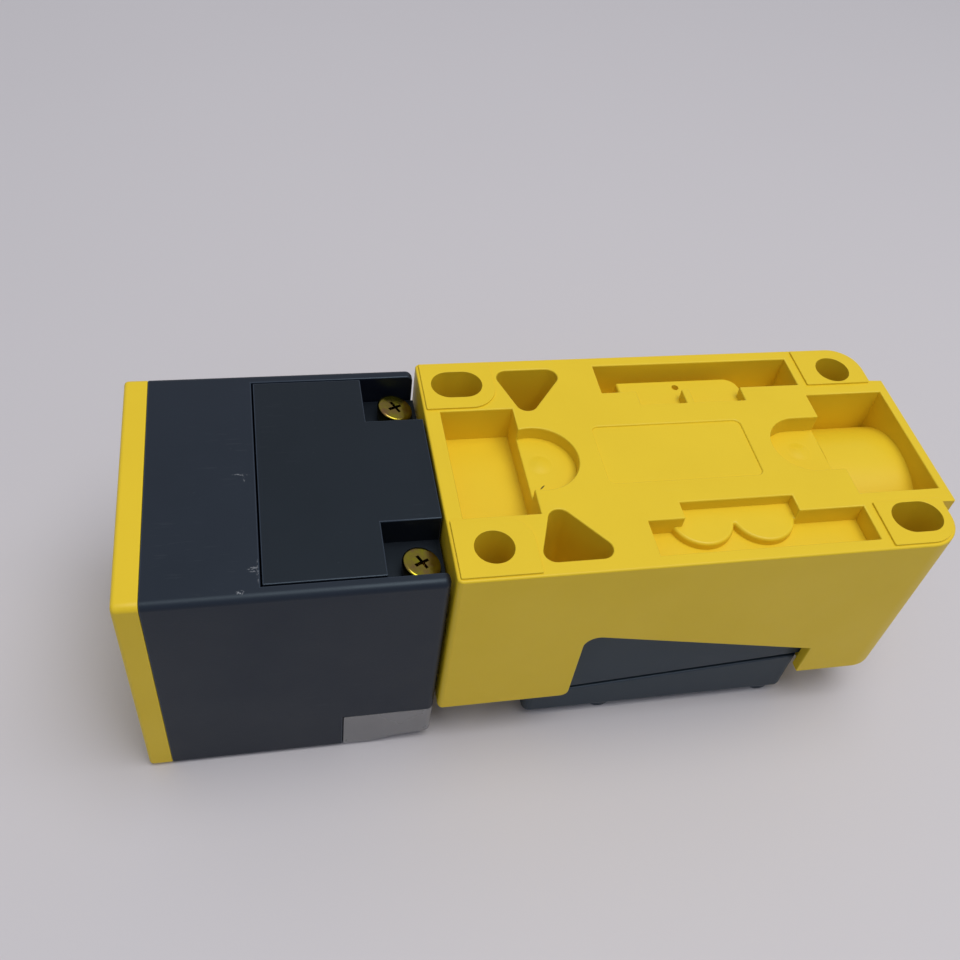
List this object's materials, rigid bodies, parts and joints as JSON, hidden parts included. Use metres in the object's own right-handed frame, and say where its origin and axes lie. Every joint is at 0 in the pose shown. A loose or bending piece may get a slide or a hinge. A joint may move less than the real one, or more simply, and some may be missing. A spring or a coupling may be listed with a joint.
{
  "type": "inductive proximity sensor",
  "caption": "Block-shaped inductive proximity sensor with a turnable square sensing head, a moulded mounting base and a terminal chamber under a screwed lid.",
  "frame": {"origin": "middle of the mounting holes, on the plane of the mounting pads", "axes": "+X along the sensor from the active face to the cable entry, +Z out of the mounting face, +Y completes the right-handed frame"},
  "size_m": [0.114, 0.04, 0.04],
  "materials": {
    "yellow_plastic": "moulded glass-filled plastic, signal yellow, fine satin grain",
    "dark_plastic": "moulded glass-filled plastic, dark blue-grey, fine satin grain",
    "passivated_steel": "zinc plated and yellow passivated",
    "plated_steel": "zinc plated",
    "neck_metal": "nickel plated, turned",
    "brass": "bright turned brass",
    "smoked_lens": "smoky translucent polycarbonate",
    "ferrite": "sintered ferrite, dark grey",
    "former_plastic": "natural moulded plastic",
    "copper_wire": "enamelled copper wire",
    "potting_resin": "cast resin",
    "circuit_board": "glass laminate with green solder mask",
    "chip_plastic": "black moulding compound",
    "led_resin": "clear tinted resin",
    "rubber_seal": "black nitrile rubber",
    "block_plastic": "moulded light grey plastic",
    "lead_insulation": "insulated stranded wire"
  },
  "bodies": {
    "base": {"mounting_base": "yellow_plastic", "swivel_neck": "neck_metal", "neck_seal": "rubber_seal", "neck_nut": "neck_metal", "terminal_housing": "dark_plastic", "terminal_block": "block_plastic", "terminal_bars": "brass", "lead_bundle": "lead_insulation"},
    "head": {"active_face_cap": "yellow_plastic", "head_shell": "dark_plastic", "clamp_saddle": "dark_plastic", "saddle_screws": "passivated_steel", "screw_inserts": "brass", "led_lens_near": "smoked_lens", "led_lens_far": "smoked_lens", "ferrite_core": "ferrite", "coil_former": "former_plastic", "coil_winding": "copper_wire", "potting_block": "potting_resin", "sensor_board": "circuit_board", "board_parts": "chip_plastic", "led_board": "circuit_board", "status_leds": "led_resin"},
    "lid": {"lid": "dark_plastic", "lid_gasket": "rubber_seal", "lid_screws": "passivated_steel"},
    "screw_1": {"terminal_screw_1": "plated_steel"},
    "cage_1": {"clamp_cage_1": "plated_steel"},
    "screw_2": {"terminal_screw_2": "plated_steel"},
    "cage_2": {"clamp_cage_2": "plated_steel"},
    "screw_3": {"terminal_screw_3": "plated_steel"},
    "cage_3": {"clamp_cage_3": "plated_steel"},
    "screw_4": {"terminal_screw_4": "plated_steel"},
    "cage_4": {"clamp_cage_4": "plated_steel"}
  },
  "joints": [
    {"name": "head_turn", "type": "hinge", "parent": "base", "child": "head", "pos_m": [0, 0, -0.0204], "axis": [1, 0, 0], "range_deg": [-90, 180]},
    {"name": "lid_lift", "type": "slide", "parent": "base", "child": "lid", "axis": [0, 0, -1], "range_m": [0, 0.018]},
    {"name": "terminal_screw_1_turn", "type": "hinge", "parent": "base", "child": "screw_1", "pos_m": [0.0068, -0.00975, -0.0243], "axis": [0, 0, 1], "range_deg": [0, 1446]},
    {"name": "clamp_cage_1_rise", "type": "slide", "parent": "base", "child": "cage_1", "axis": [0, 0, -1], "range_m": [0, 0.002]},
    {"name": "terminal_screw_2_turn", "type": "hinge", "parent": "base", "child": "screw_2", "pos_m": [0.0068, -0.00325, -0.0243], "axis": [0, 0, 1], "range_deg": [0, 1446]},
    {"name": "clamp_cage_2_rise", "type": "slide", "parent": "base", "child": "cage_2", "axis": [0, 0, -1], "range_m": [0, 0.002]},
    {"name": "terminal_screw_3_turn", "type": "hinge", "parent": "base", "child": "screw_3", "pos_m": [0.0068, 0.00325, -0.0243], "axis": [0, 0, 1], "range_deg": [0, 1446]},
    {"name": "clamp_cage_3_rise", "type": "slide", "parent": "base", "child": "cage_3", "axis": [0, 0, -1], "range_m": [0, 0.002]},
    {"name": "terminal_screw_4_turn", "type": "hinge", "parent": "base", "child": "screw_4", "pos_m": [0.0068, 0.00975, -0.0243], "axis": [0, 0, 1], "range_deg": [0, 1446]},
    {"name": "clamp_cage_4_rise", "type": "slide", "parent": "base", "child": "cage_4", "axis": [0, 0, -1], "range_m": [0, 0.002]}
  ],
  "couplings": [
    {"joint": "terminal_screw_1_turn", "follows": "clamp_cage_1_rise", "rad_per_m": 12566},
    {"joint": "terminal_screw_2_turn", "follows": "clamp_cage_2_rise", "rad_per_m": 12566},
    {"joint": "terminal_screw_3_turn", "follows": "clamp_cage_3_rise", "rad_per_m": 12566},
    {"joint": "terminal_screw_4_turn", "follows": "clamp_cage_4_rise", "rad_per_m": 12566}
  ]
}
